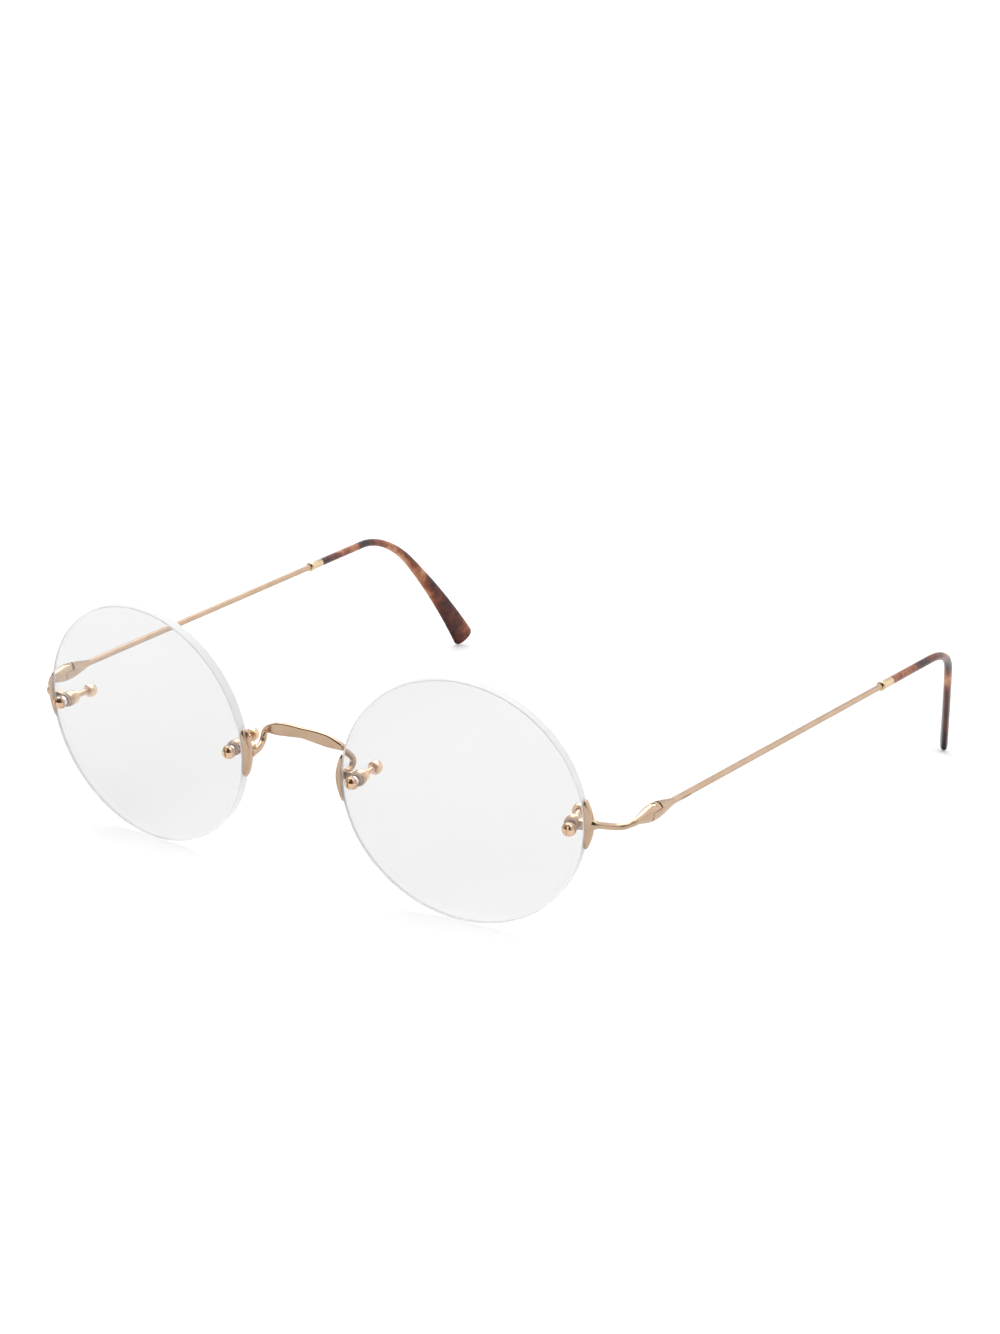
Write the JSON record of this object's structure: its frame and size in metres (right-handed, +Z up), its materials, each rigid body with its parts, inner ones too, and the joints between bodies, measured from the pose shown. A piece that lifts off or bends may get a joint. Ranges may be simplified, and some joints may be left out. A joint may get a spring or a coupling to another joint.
{
  "type": "rimless eyeglasses",
  "caption": "Round rimless eyeglasses: lenses screwed to a metal bridge and end pieces, with straight wire temples that fold on hinges and end in plastic tips curved over the ears.",
  "frame": {"origin": "on the table, at the middle of the open glasses seen from above: they rest on the lower rims of the lenses and the ends of the temple tips", "axes": "+Z up, -Y the way the wearer looks, +X towards the wearer's left"},
  "size_m": [0.134, 0.1663, 0.0436],
  "materials": {
    "satin_gold": "satin rose-gold plated wire",
    "polished_gold": "polished gold screws and nuts",
    "pale_gold": "polished pale gold ferrule",
    "lens": "clear polished lens with a ground edge",
    "clear_plastic": "clear plastic washers and sleeves",
    "tortoise": "glossy mottled tortoiseshell plastic"
  },
  "bodies": {
    "front": {"bridge": "satin_gold", "lens_left": "lens", "lens_screw_temporal_left": "polished_gold", "front_washer_temporal_left": "clear_plastic", "sleeve_temporal_left": "clear_plastic", "back_washer_temporal_left": "clear_plastic", "hex_nut_temporal_left": "polished_gold", "cap_nut_temporal_left": "polished_gold", "lens_screw_nasal_left": "polished_gold", "front_washer_nasal_left": "clear_plastic", "sleeve_nasal_left": "clear_plastic", "back_washer_nasal_left": "clear_plastic", "hex_nut_nasal_left": "polished_gold", "cap_nut_nasal_left": "polished_gold", "end_piece_left": "satin_gold", "hinge_screw_left": "polished_gold", "lens_right": "lens", "lens_screw_temporal_right": "polished_gold", "front_washer_temporal_right": "clear_plastic", "sleeve_temporal_right": "clear_plastic", "back_washer_temporal_right": "clear_plastic", "hex_nut_temporal_right": "polished_gold", "cap_nut_temporal_right": "polished_gold", "lens_screw_nasal_right": "polished_gold", "front_washer_nasal_right": "clear_plastic", "sleeve_nasal_right": "clear_plastic", "back_washer_nasal_right": "clear_plastic", "hex_nut_nasal_right": "polished_gold", "cap_nut_nasal_right": "polished_gold", "end_piece_right": "satin_gold", "hinge_screw_right": "polished_gold"},
    "temple_arm_left": {"temple_left": "satin_gold", "ferrule_left": "pale_gold", "temple_tip_left": "tortoise"},
    "temple_arm_right": {"temple_right": "satin_gold", "ferrule_right": "pale_gold", "temple_tip_right": "tortoise"}
  },
  "joints": [
    {"name": "temple_hinge_left", "type": "hinge", "parent": "front", "child": "temple_arm_left", "pos_m": [0.0598, -0.0644, 0.02294], "axis": [-0.0047, -0.0818, 0.9966], "range_deg": [0, 88]},
    {"name": "temple_hinge_right", "type": "hinge", "parent": "front", "child": "temple_arm_right", "pos_m": [-0.0598, -0.0644, 0.02294], "axis": [-0.0047, 0.0818, -0.9966], "range_deg": [0, 80]}
  ]
}
